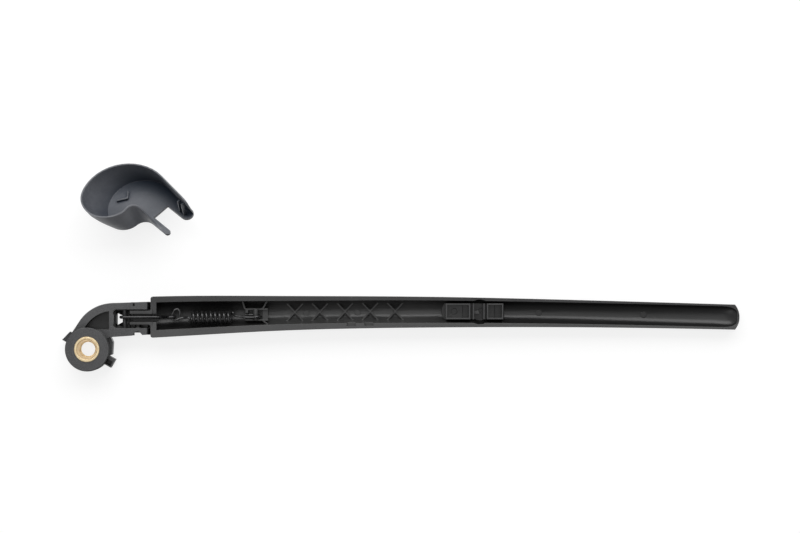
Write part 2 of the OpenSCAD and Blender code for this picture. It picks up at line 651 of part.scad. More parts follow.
// A coil with a flat end loop in the hook's eye and a bent hook over the anchor's post
module tension_spring() {
    steps = 20;
    post_gap = 0.15;
    bend_r = post_d / 2 + post_gap + spring_wire_d / 2;
    leg_y = hook_y - 0.4;
    lead_y = spring_y + 0.6;
    x = loop_x;
    top = leg_y + loop_rise;
    // From the loop's free end round and through the hook's eye to the coil
    loop = [[x + 4.8, leg_y + 1.5], [x + 5, leg_y + 3], [x + 4.7, top - 1], [x + 3.8, top], [x + 2.6, top],
            [x + 1.5, top - 0.8], [x + 0.7, leg_y + 3.1], [x + 0.15, leg_y + 1.9], [x, leg_y + 0.9], [x, leg_y + 0.2],
            [x + 0.3, leg_y - 0.7], [x + 1, leg_y - 1.4], [x + 2.1, leg_y - 1.5], [x + 3.6, leg_y - 1],
            [x + 5.2, leg_y - 0.4], [x + 6.5, leg_y - 0.1], [coil_x - 3.5, leg_y]];
    start = [for (p = loop) [p[0], p[1], line_z(p[0])]];
    leg = [[coil_x - 1.6, spring_y, line_z(coil_x) + spring_r * 0.5],
        [coil_x - 0.7, spring_y, line_z(coil_x) + spring_r * 0.9]];
    coil = [for (i = [1:(coil_turns + 0.75) * steps])
        let(a = 90 + 360 * i / steps, at = coil_x + coil_pitch * i / steps)
        [at, spring_y + spring_r * cos(a), line_z(at) + spring_r * sin(a)]];
    lead = [[coil_end_x + 0.6, spring_y + spring_r * 0.85, line_z(coil_end_x) + spring_r * 0.35],
        [coil_end_x + 1.7, lead_y + spring_r * 0.2, line_z(coil_end_x)],
        [coil_end_x + 3, lead_y, line_z(coil_end_x + 3)],
        [post_x - 10, lead_y, line_z(post_x - 10)],
        [post_x - 5, spring_y, line_z(post_x - 5) + bend_r * 0.8]];
    bend = [for (a = [110:-20:-90]) let(k = (110 - a) / 200)
        [post_x + bend_r * cos(a), spring_y + bend_shift * k, post_z + bend_r * sin(a)]];
    tail = [[post_x - 3, spring_y + bend_shift, post_z - bend_r], [post_x - 6.8, spring_y + bend_shift, post_z - bend_r]];
    color([0.16, 0.16, 0.17]) wire(concat(start, leg, coil, lead, bend, tail), spring_wire_d);
}

module arm_outer() {
    tip = [for (i = [0:6]) arm_tip_a * (1 - i / 6) + 4 * i / 6];
    root = [[arm_x0, 2.2], [arm_x0 + 0.35, 1], [arm_x0 + 0.9, 0.3], [arm_x0 + 1.8, 0]];
    xs = [for (i = [1:stations]) arm_x0 + arm_run * i / stations];
    skin(concat(
        [for (r = root) section(r[0], arm_y(r[0]), (arm_w(r[0]) - r[1]) / 2, arm_rim(r[0]), arm_depth(r[0]), 3,
            arm_rim(r[0]) - arm_rim_fall)],
        [for (x = xs)
            section(x, arm_y(x), arm_w(x) / 2, arm_rim(x), arm_depth(x), 3, arm_rim(x) - arm_rim_fall)],
        [for (i = [1:6]) let(a = tip[i], x = arm_tip_x + arm_tip_r * cos(a), end = arm_x0 + arm_run)
            section(x, arm_y(end), arm_tip_r * sin(a), arm_rim(end), arm_depth(end) * (1 - 0.07 * i), 3,
                arm_rim(end) - arm_rim_fall * (1 - i / 7))]));
}

// The trough, with a spoon-shaped end
module trough() {
    x0 = arm_x0 + arm_end_wall;
    x1 = arm_reach - arm_tip_wall - spoon_len;
    xs = [for (i = [0:stations]) x0 + (x1 - x0) * i / stations];
    function hollow(x, f) = section(x, trough_y(x), (trough_far(x) - trough_near(x)) / 2 * pow(1 - pow(f, 4), 0.25),
        arm_rim(x), (arm_depth(x) - arm_floor) * pow(1 - f * f, 0.5), 2.5, arm_rim(x) + 2);
    function lifted(ring, x) = concat([ring[0]], [[x, ring[1][1], arm_rim(x) + 2]],
        [for (i = [1:len(ring) - 1]) ring[i]], [[x, ring[len(ring) - 1][1], arm_rim(x) + 2]]);
    skin(concat([for (x = xs) lifted(hollow(x, 0), x)],
        [for (f = [0.2:0.15:0.95]) let(x = x1 + spoon_len * f) lifted(hollow(x, f), x)],
        [let(x = x1 + spoon_len * 0.995) lifted(hollow(x, 0.99), x)]));
}

// The two plates that reach into the yoke, the floor between them and the shoulders at the end wall
module tongue() {
    side_gap = 0.3;
    low = hinge_z - ear_r;
    high = hinge_z + tongue_up;
    module side(top) {
        intersection() {
            union() {
                translate([hinge_x, hinge_z]) circle(r = ear_r);
                translate([hinge_x, low]) square([arm_x0 + 1 - hinge_x, 2 * ear_r]);
            }
            translate([hinge_x - ear_r - past, low - past]) square([3 * ear_r, top - low + past]);
        }
    }
    module slice(from_y, to_y, top) {
        translate([0, to_y, 0]) rotate([90, 0, 0]) linear_extrude(to_y - from_y) side(top);
    }
    module shoulder(y, r, outward) {
        difference() {
            block([arm_x0 - r, min(y, y + outward * r), low], [arm_x0 + 1, max(y, y + outward * r), high]);
            translate([arm_x0 - r, y + outward * r, low - past]) cylinder(r = r, h = high - low + 2 * past);
        }
    }
    slice(tongue_near_y, tongue_near_y + tongue_near_t, high);
    slice(tongue_far_y - tongue_far_t, tongue_far_y, high);
    slice(yoke_slot_y + side_gap, yoke_far_y - side_gap, tongue_floor_z);
    shoulder(tongue_near_y, shoulder_r, -1);
    shoulder(tongue_far_y, tongue_far_gap - 0.1, 1);
    // A lip under the yoke's round end, hollowed about the hinge
    difference() {
        block([hinge_x + lip_from, yoke_near_edge, low + 0.5], [arm_x0 + 1, yoke_far_edge, low + lip_h]);
        across(hinge_x, hinge_z, 2 * (yoke_end_r + lip_gap), yoke_near_edge - past, yoke_far_edge + past);
    }
}

// Lattice ribs that cross on the trough's middle line
module lattice() {
    for (i = [0:lattice_count - 1]) {
        x = lattice_x + i * lattice_pitch;
        far = trough_far(x) - trough_y(x) + 0.6;
        near = trough_y(x) - trough_near(x) + 0.6;
        low = arm_floor_z(x) - 0.9;
        high = arm_floor_z(x) + lattice_h;
        rib([x - near * 0.92, trough_y(x) - near], [x + far * 0.92, trough_y(x) + far], lattice_t, low, high);
        rib([x - far * 0.92, trough_y(x) + far], [x + near * 0.92, trough_y(x) - near], lattice_t, low, high);
    }
}

// The frame and post that the spring hooks on, braced to the trough's walls
module anchor() {
    x0 = post_x + anchor_ends[0];
    x1 = post_x + anchor_ends[1];
    near = spring_y + anchor_sides[0];
    far = spring_y + anchor_sides[1];
    low = arm_floor_z(x0) - anchor_foot;
    high = arm_floor_z(x0) + anchor_h;
    block_x = x1 - anchor_block;
    wall = 0.5; // how far the braces reach into the trough's walls
    across(post_x, post_z, post_d, near, far);
    block([x0, near - anchor_t / 2, low], [x1, near + anchor_t / 2, high]);
    block([x0, far - anchor_t / 2, low], [x1, far + anchor_t / 2, high]);
    block([x0, far - anchor_stub[1], low], [x0 + anchor_stub[0], far, high]);
    block([block_x, near, low], [x1, far, high - anchor_block_drop]);
    rib([x0 - 0.2, far], [x0 - 2, trough_far(x0) + wall], anchor_t, low, high);
    rib([x0 + 0.4, near], [x0 - 1.2, trough_near(x0) - wall], anchor_t, low, high);
    rib([block_x, far], [x1 - 0.2, trough_far(x1) + wall], anchor_t, low, high);
    rib([block_x, near], [x1 + 0.6, trough_near(x1) - wall], anchor_t, low, high);
}

module frame(x0, x1, y, w, t, low, high) {
    block([x0, y - w / 2, low], [x0 + t, y + w / 2, high]);
    block([x1 - t, y - w / 2, low], [x1, y + w / 2, high]);
    block([x0, y - w / 2, low], [x1, y - w / 2 + t, high]);
    block([x0, y + w / 2 - t, low], [x1, y + w / 2, high]);
}

// Two boxes and two bars that hold the blade's clip
module cage() {
    y = trough_y(mount_x) + cage_shift;
    half = cage_w / 2;
    floor_z = arm_floor_z(mount_x);
    low = floor_z - cage_foot;
    high = arm_rim(mount_x) - cage_drop;
    step_z = floor_z + cage_step;
    long_x = mount_x - long_box_off - long_box_len;
    short_x = mount_x + short_box_off;
    bar_x = mount_x - bar_off;
    frame(long_x, long_x + long_box_len, y, cage_w, cage_t, low, high);
    frame(short_x, short_x + short_box_len, y, cage_w, cage_t, low, high);
    block([long_x, y - half, low], [long_x + long_step_len, y + half, step_z]);
    block([short_x, y - half, low], [short_x + short_step_len, y + half, step_z]);
    translate([long_x + long_step_len / 2, y, low]) cylinder(d = ejector_d, h = step_z + ejector_proud - low);
    for (x = [bar_x, bar_x + bar_span - cage_t]) block([x, y - half, low], [x + cage_t, y + half, high]);
    block([bar_x, y - cage_web[1], low], [bar_x + cage_web[0], y + cage_web[2], high - 1]);
}

// The well that the cage stands in, with a rounded end
module cage_space() {
    y = trough_y(mount_x) + cage_shift;
    low = arm_floor_z(mount_x) - cage_well;
    depth = 4;
    x0 = mount_x - long_box_off - long_box_len - 2.6;
    x1 = mount_x + short_box_off + short_box_len + 0.6;
    half = cage_w / 2 + 0.1;
    intersection() {
        translate([x0 + cage_end_r, y, low]) cylinder(r = cage_end_r, h = depth);
        block([x0 - past, y - half, low], [x0 + cage_end_r, y + half, low + depth]);
    }
    block([x0 + cage_end_r - past / 100, y - half, low], [x1, y + half, low + depth]);
}

module arm_channel() {
    slot_near = tongue_near_y + tongue_near_t;
    slot_far = tongue_far_y - tongue_far_t;
    hole_y = trough_y(mount_x) + 0.8;
    swivel_z = arm_floor_z(mount_x) + 0.3 + swivel_cone;
    color([0.13, 0.13, 0.13]) difference() {
        union() {
            difference() {
                arm_outer();
                trough();
                cage_space();
                for (i = [0, 1]) {
                    x = notch_x + i * notch_pitch;
                    block([x, trough_near(x) - notch_depth, arm_rim(x) - notch_drop],
                          [x + notch_len, trough_near(x) + 1, arm_rim(x) + past]);
                }
                translate([mount_x, trough_y(mount_x), swivel_z - swivel_cone])
                    cylinder(d1 = swivel_d - 2 * swivel_cone, d2 = swivel_d, h = swivel_cone);
                translate([mount_x, trough_y(mount_x), swivel_z]) cylinder(d = swivel_d, h = arm_depth_root);
            }
            tongue();
            // Nothing inside the trough comes through the arm's skin
            intersection() {
                arm_outer();
                union() {
                    lattice();
                    anchor();
                    cage();
                    for (p = ejector_at)
                        translate([p[0], p[1], arm_floor_z(p[0]) - 1]) cylinder(d = ejector_d, h = 1 + ejector_proud);
                }
            }
        }
        block([hinge_x, slot_near, tongue_floor_z], [arm_x0 + arm_end_wall + past, slot_far, arm_rim(arm_x0) + past]);
        across(hinge_x, hinge_z, hinge_pin_d + 2 * pin_clearance, tongue_near_y - past, tongue_far_y + past);
        translate([mount_x + 0.9, hole_y, arm_floor_z(mount_x) - 1.3]) cylinder(d = locate_d, h = 3);
    }
}

// Plan of the cap's shell. It has a round end, a swept side, a straight side and an open end.
function cap_plan(end_at, end_r, sweep_at, sweep_r, near_y, fillet_r, reach, inset) =
    let(r = end_r - inset, sweep = sweep_r - inset, d = sweep_at - end_at,
        a = atan2(d[1], d[0]) + acos(max(-1, (r - sweep) / norm(d))),
        fy = near_y - fillet_r,
        fx = end_at[0] + sqrt(pow(end_r + fillet_r, 2) - pow(fy - end_at[1], 2)),
        fa = atan2(fy - end_at[1], fx - end_at[0]),
        last = sweep_at + sweep * [cos(90 - cap_taper), sin(90 - cap_taper)])
    concat(arc(end_at, r, a, 360 + fa, 22), arc([fx, fy], fillet_r + inset, 170 + fa, 90, 6),
        [[(fx + reach) / 2, near_y + inset], [reach, near_y + inset],
         [reach, last[1] - (reach - last[0]) * tan(cap_taper)],
         [(reach + last[0]) / 2, last[1] - (reach - last[0]) / 2 * tan(cap_taper)]],
        arc(sweep_at, sweep, 90 - cap_taper, a - 3, 14));

function cap_ring(s, reach, inset) =
    let(rim = cap_plan(cap_rim_end, cap_end_r, cap_rim_sweep, cap_sweep_r, cap_rim_near, cap_rim_fillet,
            reach, inset * cap_rim_share),
        low = cap_plan(cap_low_end, cap_low_end_r, cap_low_sweep, cap_low_sweep_r, cap_low_near, cap_low_fillet,
            reach, inset),
        g = 1 - pow(1 - s, 1.5))
    [for (i = [0:len(rim) - 1]) low[i] * (1 - g) + rim[i] * g];

function raised(ring, z) = [for (p = ring) [p[0], p[1], z]];
function gathered(ring, z) = [for (p = ring) [cap_middle[0], cap_middle[1], z]];

module cap_shell() {
    steps = [0, 0.12, 0.3, 0.5, 0.75, 1];
    open_reach = cap_reach + 12;
    difference() {
        skin(concat([gathered(cap_ring(0, cap_reach, 0), -cap_depth - cap_crown)],
            [for (s = steps) raised(cap_ring(s, cap_reach, 0), -cap_depth * (1 - s))],
            [gathered(cap_ring(1, cap_reach, 0), 0)]), false);
        skin(concat([gathered(cap_ring(0, open_reach, cap_wall), -cap_depth + cap_wall)],
            [for (s = steps) raised(cap_ring(s, open_reach, cap_wall), (cap_wall - cap_depth) * (1 - s))],
            [raised(cap_ring(1, open_reach, cap_wall), 3), gathered(cap_ring(1, open_reach, cap_wall), 3)]), false);
    }
}

// The near wall falls away to the short prong in an S-shaped line
module near_drop() {
    split_y = (cap_slot[0] + cap_slot[1]) / 2;
    steps = 16;
    run = cap_drop[1] - cap_drop[0];
    line = [for (i = [0:steps])
        [cap_drop[0] + run * i / steps, -cap_drop_depth / 2 * (1 - cos(180 * i / steps))]];
    translate([0, split_y, 0]) rotate([90, 0, 0]) linear_extrude(2 * cap_reach)
        polygon(concat([[cap_drop[0] - 2, 4], [cap_drop[0] - 2, past / 100]], line,
            [[cap_reach + past, -cap_drop_depth], [cap_reach + past, 4]]));
}

// What is cut from the short prong to leave a round end
module short_end() {
    mid_y = (cap_low_near + cap_slot[0]) / 2;
    end_d = cap_slot[0] - cap_low_near;
    low = -cap_depth - 2 * past;
    x = min(cap_short_reach, cap_reach) - 2;
    difference() {
        block([x, mid_y - end_d, low], [cap_reach + past, mid_y + end_d / 2 + 0.01, past]);
        translate([x, mid_y, low]) cylinder(d = end_d, h = cap_depth);
    }
}

// What is cut from the long prong to round its upper corner and, seen from above, its whole end
module long_end() {
    r = cap_far_corner_r;
    c = cap_far_end_r;
    side = cap_slot[1];
    wide = 4 * c;
    low = -cap_depth - 2 * past;
    difference() {
        block([cap_reach - r, side - past, -r], [cap_reach + past, side + wide, past]);
        translate([cap_reach - r, side + wide + past, -r]) rotate([90, 0, 0]) cylinder(r = r, h = wide + 3 * past);
    }
    difference() {
        block([cap_reach - c, side - past, low], [cap_reach + past, side + wide, past]);
        translate([cap_reach - c, side + c, low - past]) cylinder(r = c, h = cap_depth + 5);
    }
}

module cap_body() {
    low = -cap_depth + 0.6;
    difference() {
        cap_shell();
        // Slot between the prongs, where the arm swings
        block([cap_slot_x, cap_slot[0], -cap_depth - 4], [cap_reach + past, cap_slot[1], 4]);
        near_drop();
        short_end();
        long_end();
    }
    for (i = [0, 1]) rib(latch_run[i], latch_run[i + 1], latch_t, low, low + cap_wall + latch_h - 0.6);
    for (b = guide_back)
        block([cap_reach - b, cap_slot[1] + guide_off[0], low],
              [cap_reach - b + guide_t, cap_slot[1] + guide_off[1], guide_h - cap_depth]);
}

// The cap as it lies: turned, tilted and lowered until it touches the surface
module spindle_cap() {
    u = cap_turn - cap_lean;
    lowest = min([for (s = [0, 0.12, 0.3], p = cap_ring(s, cap_reach, 0))
        -sin(cap_tilt) * (p[0] * cos(u) - p[1] * sin(u)) - cos(cap_tilt) * cap_depth * (1 - s)]);
    color([0.27, 0.28, 0.3]) translate([cap_x, cap_y, back_z - lowest])
        rotate(a = cap_tilt, v = [-sin(cap_lean), cos(cap_lean), 0]) rotate([0, 0, cap_turn]) cap_body();
}

arm_head();
spindle_bush();
hinge_pins();
hook_pin();
tension_hook();
tension_spring();
arm_channel();
spindle_cap();
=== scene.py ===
import math

import bpy
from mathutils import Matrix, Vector


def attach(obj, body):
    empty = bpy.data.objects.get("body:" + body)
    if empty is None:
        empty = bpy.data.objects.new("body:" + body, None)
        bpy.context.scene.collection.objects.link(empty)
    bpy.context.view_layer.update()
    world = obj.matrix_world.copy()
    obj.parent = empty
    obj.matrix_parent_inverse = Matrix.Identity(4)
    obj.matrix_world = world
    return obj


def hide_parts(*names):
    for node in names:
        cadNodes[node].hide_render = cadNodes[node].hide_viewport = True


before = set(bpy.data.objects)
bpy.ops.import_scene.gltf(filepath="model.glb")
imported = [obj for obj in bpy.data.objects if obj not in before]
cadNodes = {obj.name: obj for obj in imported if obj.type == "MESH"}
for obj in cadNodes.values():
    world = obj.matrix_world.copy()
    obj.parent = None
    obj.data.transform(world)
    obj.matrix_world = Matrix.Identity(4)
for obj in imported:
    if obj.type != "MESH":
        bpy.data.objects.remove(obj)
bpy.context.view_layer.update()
print("wiper arm: the packed model is loaded,", len(cadNodes), "nodes")

mm = 0.001


# The picture is taken from straight above, with the arm lying on its back
photoView = {
    "above": (0.1939, 0.0513),  # the point under the lens, in metres
    "height": 2.2,  # over the plane that the field is measured on
    "plane": 0.010,
    "field": 0.496,  # width of the picture on that plane
    "sensor": 36.0,  # in millimetres, as Blender takes it
    "clip": (0.05, 30.0),
}


def setCamera(v):
    lens = bpy.data.cameras.new("photoCamera")
    lens.sensor_fit = "HORIZONTAL"
    lens.sensor_width = v["sensor"]
    lens.lens = v["sensor"] * v["height"] / v["field"]
    lens.clip_start, lens.clip_end = v["clip"]
    rig = bpy.data.objects.new("photoCamera", lens)
    rig.location = (v["above"][0], v["above"][1], v["plane"] + v["height"])
    bpy.context.scene.collection.objects.link(rig)
    bpy.context.scene.camera = rig


setCamera(photoView)
bpy.context.scene.view_settings.view_transform = "Standard"
print("wiper arm: camera is set")


# Shader nodes are chained with these few calls
class Graph:
    bevelSamples, openSamples = 6, 12
    edgeTurn = (0.985, 0.80)  # cosine of the turn at which an edge starts to count, and counts in full

    def __init__(self, name):
        self.material = bpy.data.materials.new(name)
        self.material.use_nodes = True
        self.tree = self.material.node_tree
        self.shader = self.tree.nodes["Principled BSDF"]
        self.place = self.tree.nodes.new("ShaderNodeTexCoord").outputs["Object"]

    def node(self, kind, inputs=(), **settings):
        made = self.tree.nodes.new("ShaderNode" + kind)
        for key, value in settings.items():
            setattr(made, key, value)
        for key, value in dict(inputs).items():
            self.put(made.inputs[key], value)
        return made

    def put(self, socket, value):
        if isinstance(value, bpy.types.NodeSocket):
            self.tree.links.new(value, socket)
        else:
            socket.default_value = value

    def math(self, what, a, b=0.0, c=0.0):
        return self.node("Math", {0: a, 1: b, 2: c}, operation=what).outputs[0]

    def noise(self, scale, detail=2.0, rough=0.5, stretch=None):
        where = self.place
        if stretch:
            where = self.node("Mapping", {"Vector": self.place, "Scale": stretch}).outputs[0]
        made = self.node("TexNoise", {"Vector": where, "Scale": scale, "Detail": detail, "Roughness": rough})
        return made.outputs[0]

    def remap(self, value, low, high, toLow, toHigh):
        return self.node("MapRange", {"Value": value, "From Min": low, "From Max": high,
                                      "To Min": toLow, "To Max": toHigh}).outputs[0]

    def blend(self, share, a, b):
        made = self.node("Mix", data_type="RGBA")
        self.put(made.inputs[0], share)
        for socket, value in ((made.inputs[6], a), (made.inputs[7], b)):
            self.put(socket, value if isinstance(value, bpy.types.NodeSocket) else (*value, 1.0))
        return made.outputs[2]

    def bump(self, height, distance, strength=1.0, under=None):
        made = self.node("Bump", {"Height": height, "Distance": distance, "Strength": strength})
        if under is not None:
            self.put(made.inputs["Normal"], under)
        return made.outputs[0]

    def rounded(self, radius):
        return self.node("Bevel", {"Radius": radius}, samples=self.bevelSamples).outputs[0]

    def edges(self, radius):
        flat = self.node("NewGeometry").outputs["Normal"]
        dot = self.node("VectorMath", {0: self.rounded(radius), 1: flat}, operation="DOT_PRODUCT").outputs["Value"]
        return self.remap(dot, *self.edgeTurn, 0.0, 1.0)

    def openness(self, reach):
        return self.node("AmbientOcclusion", {"Distance": reach}, samples=self.openSamples).outputs["AO"]

    def finish(self, colour, roughness, normal=None, **constants):
        self.put(self.shader.inputs["Base Color"], colour)
        self.put(self.shader.inputs["Roughness"], roughness)
        if normal is not None:
            self.put(self.shader.inputs["Normal"], normal)
        for key, value in constants.items():
            self.shader.inputs[key.replace("_", " ")].default_value = value
        return self.material


# Moulded plastics: a soft cloudy tone, flow streaks, fine grain and paler worn edges.
# Inside the channel and the pockets the mould is smooth, so they are glossier; their darker colour is painted
# shade, stronger where the surface is less open.
# The middle of the arm's channel gets a paler painted pool of light. Its run is in metres along the arm: start,
# full, full, end.
armLook = {
    "dark": (0.031, 0.031, 0.0315), "pale": (0.053, 0.053, 0.0535), "edge": (0.10, 0.10, 0.102),
    # The recess tone is painted shade in the channel.
    "recessShade": (0.0120, 0.0120, 0.0122), "recessShadeReach": 0.016, "recessShadeFrom": (0.76, 0.97),
    # The paler tone and its run make a painted pool of light along the middle of the channel.
    "paintedLightPool": (0.050, 0.050, 0.0495), "paintedLightPoolRun": (0.085, 0.120, 0.200, 0.250),
    "rough": (0.42, 0.56), "deepRough": (0.26, 0.38), "grain": 4200.0, "grainDepth": 0.000018,
    "clouds": 32.0, "speckle": 0.35, "edgeWidth": 0.00035, "streaks": (5.0, 60.0, 60.0),
}
headLook = {
    "dark": (0.033, 0.0335, 0.0355), "pale": (0.058, 0.0585, 0.061), "edge": (0.19, 0.19, 0.193),
    # The recess tone is painted shade in the head's pockets.
    "recessShade": (0.0055, 0.0055, 0.0058), "recessShadeReach": 0.009, "recessShadeFrom": (0.45, 0.90),
    "rough": (0.46, 0.60), "deepRough": (0.26, 0.40), "grain": 3000.0, "grainDepth": 0.00004,
    "clouds": 60.0, "speckle": 0.85, "edgeWidth": 0.0004, "streaks": (30.0, 30.0, 30.0),
}
capLook = {
    "dark": (0.066, 0.071, 0.083), "pale": (0.128, 0.134, 0.150), "edge": (0.34, 0.345, 0.36),
    # The recess tone is painted shade inside the cap.
    "recessShade": (0.019, 0.027, 0.042), "recessShadeReach": 0.020, "recessShadeFrom": (0.42, 0.99),
    "rough": (0.36, 0.48), "deepRough": (0.30, 0.42), "grain": 4200.0, "grainDepth": 0.00002,
    "clouds": 36.0, "speckle": 0.40, "edgeWidth": 0.00045, "streaks": (14.0, 90.0, 90.0),
}
# What the three plastics share: spans of the noises, and how strongly each one shows
moulding = {
    "toneSpan": (0.34, 0.66), "speckSpan": (0.50, 0.70), "midSpan": (0.3, 0.7), "worn": (0.30, 0.75),
    # The share below sets how the clouds mottle the painted pool of light.
    "wornInside": 0.25, "paintedLightPoolShare": (0.55, 1.0), "grainShows": (0.8, 0.3), "poreScale": 0.35, "poreDepth": 0.5,
    "poreShows": 0.5, "grainInDrift": 0.4, "streaksInDrift": 0.6,
}


# Painted shade for the recesses; on the arm it is lifted to a painted pool of light along the middle of the
# channel.
def paintedInsideTone(g, look, clouds):
    if "paintedLightPool" not in look:
        return look["recessShade"]
    # A painted pool of light: a band along the arm, mottled by the clouds.
    start, full, fade, end = look["paintedLightPoolRun"]
    along = g.node("SeparateXYZ", {0: g.place}).outputs[0]
    poolBand = g.math("MULTIPLY", g.remap(along, start, full, 0.0, 1.0), g.remap(along, fade, end, 1.0, 0.0))
    cloudy = g.remap(clouds, *moulding["midSpan"], *moulding["paintedLightPoolShare"])
    return g.blend(g.math("MULTIPLY", poolBand, cloudy), look["recessShade"], look["paintedLightPool"])


def mouldedPlastic(name, look):
    g = Graph(name)
    m = moulding
    clouds = g.noise(look["clouds"], detail=3.0, rough=0.55)
    streaks = g.noise(1.0, detail=3.0, rough=0.6, stretch=look["streaks"])
    grain = g.noise(look["grain"], detail=2.0, rough=0.6)
    pores = g.node("TexVoronoi", {"Vector": g.place, "Scale": look["grain"] * m["poreScale"]}).outputs["Distance"]
    tone = g.math("MULTIPLY_ADD", streaks, 0.5, g.math("MULTIPLY", clouds, 0.5))
    colour = g.blend(g.remap(tone, *m["toneSpan"], 0.0, 1.0), look["dark"], look["pale"])
    speck = g.remap(grain, *m["speckSpan"], 0.0, look["speckle"])
    colour = g.blend(speck, colour, look["edge"])
    # Painted shade: the less open a surface is, the more it takes the dark recess tone; the same share makes it
    # glossier and less worn.
    recessShade = g.remap(g.openness(look["recessShadeReach"]), *look["recessShadeFrom"], 1.0, 0.0)
    colour = g.blend(recessShade, colour, paintedInsideTone(g, look, clouds))
    worn = g.math("MULTIPLY", g.edges(look["edgeWidth"]), g.remap(clouds, *m["midSpan"], *m["worn"]))
    worn = g.math("MULTIPLY", worn, g.remap(recessShade, 0.0, 1.0, 1.0, m["wornInside"]))
    colour = g.blend(worn, colour, look["edge"])
    drift = g.math("ADD", g.math("MULTIPLY", grain, m["grainInDrift"]),
                   g.math("MULTIPLY", streaks, m["streaksInDrift"]))
    plain = g.remap(drift, *m["midSpan"], *look["rough"])
    smooth = g.remap(drift, *m["midSpan"], *look["deepRough"])
    roughness = g.math("ADD", g.math("MULTIPLY", plain, g.math("SUBTRACT", 1.0, recessShade)),
                       g.math("MULTIPLY", smooth, recessShade))
    normal = g.bump(pores, look["grainDepth"] * m["poreDepth"], m["poreShows"], g.rounded(look["edgeWidth"]))
    normal = g.bump(grain, look["grainDepth"], g.remap(recessShade, 0.0, 1.0, *m["grainShows"]), normal)
    return g.finish(colour, roughness, normal, Specular_IOR_Level=0.5)


# Turned brass: fine rings about the spindle's axis, warm tarnish patches
brassLook = {
    "bright": (0.96, 0.80, 0.53), "dull": (0.72, 0.53, 0.28), "rough": (0.42, 0.58),
    "ringPitch": 0.00022, "ringDepth": 0.0000035, "ringShows": 0.7, "riseShare": 0.8, "edgeWidth": 0.00022,
    "patches": 420.0, "patchSpan": (0.40, 0.72), "patchShows": 0.75, "patchInRough": 0.6,
    "fine": 3000.0, "fineDepth": 0.000006, "fineShows": 0.5, "fineInRough": 0.4, "roughSpan": (0.3, 0.7),
}


def turnedBrass(name, look):
    g = Graph(name)
    part = g.node("SeparateXYZ", {0: g.place})
    across, up = [g.math("POWER", part.outputs[i], 2.0) for i in (0, 1)]
    reach = g.math("SQRT", g.math("ADD", across, up))
    run = g.math("ADD", reach, g.math("MULTIPLY", part.outputs[2], look["riseShare"]))
    rings = g.math("SINE", g.math("MULTIPLY", run, 2 * math.pi / look["ringPitch"]))
    patch = g.noise(look["patches"], detail=4.0, rough=0.62)
    fine = g.noise(look["fine"], detail=2.0, rough=0.5)
    colour = g.blend(g.remap(patch, *look["patchSpan"], 0.0, look["patchShows"]), look["bright"], look["dull"])
    mixed = g.math("ADD", g.math("MULTIPLY", patch, look["patchInRough"]),
                   g.math("MULTIPLY", fine, look["fineInRough"]))
    normal = g.bump(rings, look["ringDepth"], look["ringShows"], g.rounded(look["edgeWidth"]))
    normal = g.bump(fine, look["fineDepth"], look["fineShows"], normal)
    return g.finish(colour, g.remap(mixed, *look["roughSpan"], *look["rough"]), normal, Metallic=1.0)


# Steel wires and pins: dark, faintly patchy and finely grained. The wires have a glossy coat, the pins none.
hookLook = {"dark": (0.006, 0.006, 0.0065), "pale": (0.020, 0.020, 0.021), "rough": (0.20, 0.34),
            "grain": 2600.0, "coat": 0.5}
springLook = {"dark": (0.012, 0.012, 0.0125), "pale": (0.050, 0.050, 0.051), "rough": (0.18, 0.30),
              "grain": 2200.0, "coat": 0.6}
pinLook = {"dark": (0.020, 0.020, 0.021), "pale": (0.060, 0.060, 0.062), "rough": (0.30, 0.46),
           "grain": 1800.0, "coat": 0.0}
# What the three steels share
steel = {"patchShare": 0.18, "patchSpan": (0.36, 0.68), "roughSpan": (0.3, 0.7),
         "grainDepth": 0.000008, "grainShows": 0.5, "metal": 0.35, "coatRough": 0.15}


def coatedSteel(name, look):
    g = Graph(name)
    patch = g.noise(look["grain"] * steel["patchShare"], detail=4.0, rough=0.6)
    fine = g.noise(look["grain"], detail=2.0, rough=0.5)
    colour = g.blend(g.remap(patch, *steel["patchSpan"], 0.0, 1.0), look["dark"], look["pale"])
    mixed = g.math("ADD", g.math("MULTIPLY", patch, 0.5), g.math("MULTIPLY", fine, 0.5))
    normal = g.bump(fine, steel["grainDepth"], steel["grainShows"])
    return g.finish(colour, g.remap(mixed, *steel["roughSpan"], *look["rough"]), normal,
                    Metallic=steel["metal"], Coat_Weight=look["coat"], Coat_Roughness=steel["coatRough"])


finishes = {
    "arm": mouldedPlastic("armBlackPlastic", armLook),
    "head": mouldedPlastic("headGrainedPlastic", headLook),
    "cap": mouldedPlastic("capGreyPlastic", capLook),
    "brass": turnedBrass("bushTurnedBrass", brassLook),
    "hook": coatedSteel("hookBlackSteel", hookLook),
    "spring": coatedSteel("springBlackSteel", springLook),
    "pins": coatedSteel("pinBlackenedSteel", pinLook),
}
print("wiper arm: finishes are mixed")


def dress(node, finish):
    piece = cadNodes[node]
    piece.data.materials.clear()
    piece.data.materials.append(finishes[finish])


for nodeName, finishName in (("arm_head", "head"), ("spindle_bush", "brass"), ("hinge_pins", "pins"),
                             ("hook_pin", "pins"), ("tension_hook", "hook"), ("tension_spring", "spring"),
                             ("arm_channel", "arm"), ("spindle_cap", "cap")):
    dress(nodeName, finishName)
print("wiper arm: the solids are dressed")


